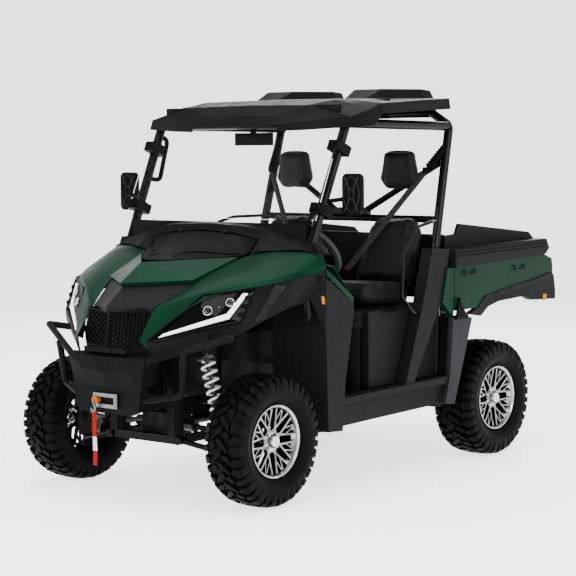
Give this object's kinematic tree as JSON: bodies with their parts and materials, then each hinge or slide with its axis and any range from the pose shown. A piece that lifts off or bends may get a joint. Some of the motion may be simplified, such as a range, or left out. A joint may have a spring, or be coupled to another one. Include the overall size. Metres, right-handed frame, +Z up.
{
  "type": "side by side utility vehicle",
  "caption": "Off-road side by side utility vehicle with bucket seats, roll cage, roof, windshield, winch, steered front wheels, tilting cargo bed and drop tailgate.",
  "frame": {"origin": "on the ground under the middle of the vehicle", "axes": "+X forwards, +Y to the vehicle's left, +Z up"},
  "size_m": [3, 1.668, 2.0532],
  "materials": {
    "green_paint": "metallic clear coat",
    "dark_plastic": "fine moulded grain",
    "guard_plastic": "fine moulded grain",
    "cage_paint": "gloss black powder coat",
    "chassis_paint": "satin black powder coat",
    "cast_metal": "as cast, painted dark",
    "shaft_steel": "dark phosphated",
    "damper_metal": "dark anodised",
    "spring_paint": "white gloss",
    "exhaust_steel": "heat dulled",
    "radiator_alloy": "black finned",
    "winch_metal": "painted and zinc plated",
    "grille_plastic": "satin moulded",
    "lamp_lens": "clear lens over dark housing",
    "clear_sheet": "clear polycarbonate",
    "seat_vinyl": "fine grain vinyl",
    "belt_web": "woven webbing",
    "wheel_grip": "soft grip",
    "wheel_alloy": "machined face, black pockets",
    "tyre_rubber": "mud tread"
  },
  "bodies": {
    "root": {"coil_springs": "spring_paint", "dash_cowl": "dark_plastic", "drivetrain": "cast_metal", "engine": "cast_metal", "exhaust": "exhaust_steel", "floor_pan": "chassis_paint", "frame": "chassis_paint", "front_beak": "dark_plastic", "front_bumper": "dark_plastic", "front_control_arms": "chassis_paint", "front_fascia": "dark_plastic", "front_fenders": "green_paint", "front_mudguards": "dark_plastic", "grille": "grille_plastic", "half_shafts": "shaft_steel", "headlamps": "lamp_lens", "headrests": "seat_vinyl", "hip_bars": "cage_paint", "hood_centre": "green_paint", "mirrors": "grille_plastic", "pillar_clamps": "grille_plastic", "pillar_trims": "dark_plastic", "radiator": "radiator_alloy", "rear_control_arms": "chassis_paint", "rear_corner_panels": "green_paint", "rear_guards": "guard_plastic", "rear_hub_carriers": "cast_metal", "roll_cage": "cage_paint", "roof_panel": "dark_plastic", "seat_backs": "seat_vinyl", "seat_base": "dark_plastic", "seat_belts": "belt_web", "seat_cushions": "seat_vinyl", "shocks": "damper_metal", "side_panels": "dark_plastic", "sills": "dark_plastic", "steering_column": "shaft_steel", "winch": "winch_metal", "windshield": "clear_sheet"},
    "knuckle_left": {"knuckle_left": "cast_metal"},
    "knuckle_right": {"knuckle_right": "cast_metal"},
    "wheel_front_left": {"tyre_front_left": "tyre_rubber", "rim_front_left": "wheel_alloy"},
    "wheel_front_right": {"tyre_front_right": "tyre_rubber", "rim_front_right": "wheel_alloy"},
    "wheel_rear_left": {"tyre_rear_left": "tyre_rubber", "rim_rear_left": "wheel_alloy"},
    "wheel_rear_right": {"tyre_rear_right": "tyre_rubber", "rim_rear_right": "wheel_alloy"},
    "steering_wheel": {"steering_wheel": "wheel_grip"},
    "bed": {"bed_box": "dark_plastic", "bed_side_panels": "green_paint", "bed_trim": "dark_plastic", "tail_lamps": "lamp_lens"},
    "tailgate": {"tailgate": "dark_plastic"},
    "hood_lid": {"hood_lid": "dark_plastic"}
  },
  "joints": [
    {"name": "steer_left", "type": "hinge", "parent": "root", "child": "knuckle_left", "pos_m": [1.033, 0.59, 0.325], "axis": [0, 0, 1], "range_deg": [-30, 30]},
    {"name": "steer_right", "type": "hinge", "parent": "root", "child": "knuckle_right", "pos_m": [1.033, -0.59, 0.325], "axis": [0, 0, 1], "range_deg": [-30, 30]},
    {"name": "steering_wheel_turn", "type": "hinge", "parent": "root", "child": "steering_wheel", "pos_m": [0.3, 0.352, 1.19], "axis": [-0.8, 0, 0.6], "range_deg": [-270, 270]},
    {"name": "roll_front_left", "type": "hinge", "parent": "knuckle_left", "child": "wheel_front_left", "pos_m": [1.033, 0.634, 0.325], "axis": [0, 1, 0], "continuous": true},
    {"name": "roll_front_right", "type": "hinge", "parent": "knuckle_right", "child": "wheel_front_right", "pos_m": [1.033, -0.634, 0.325], "axis": [0, 1, 0], "continuous": true},
    {"name": "roll_rear_left", "type": "hinge", "parent": "root", "child": "wheel_rear_left", "pos_m": [-0.897, 0.62, 0.325], "axis": [0, 1, 0], "continuous": true},
    {"name": "roll_rear_right", "type": "hinge", "parent": "root", "child": "wheel_rear_right", "pos_m": [-0.897, -0.62, 0.325], "axis": [0, 1, 0], "continuous": true},
    {"name": "bed_tilt", "type": "hinge", "parent": "root", "child": "bed", "pos_m": [-1.15, 0, 0.85], "axis": [0, -1, 0], "range_deg": [0, 45]},
    {"name": "tailgate_drop", "type": "hinge", "parent": "bed", "child": "tailgate", "pos_m": [-1.477, 0, 0.925], "axis": [0, -1, 0], "range_deg": [0, 90]},
    {"name": "hood_lid_lift", "type": "hinge", "parent": "root", "child": "hood_lid", "pos_m": [0.739, 0, 1.313], "axis": [0, -1, 0], "range_deg": [0, 60]}
  ],
  "couplings": [
    {"joint": "steer_right", "follows": "steer_left", "ratio": 1},
    {"joint": "steering_wheel_turn", "follows": "steer_left", "ratio": 9}
  ]
}
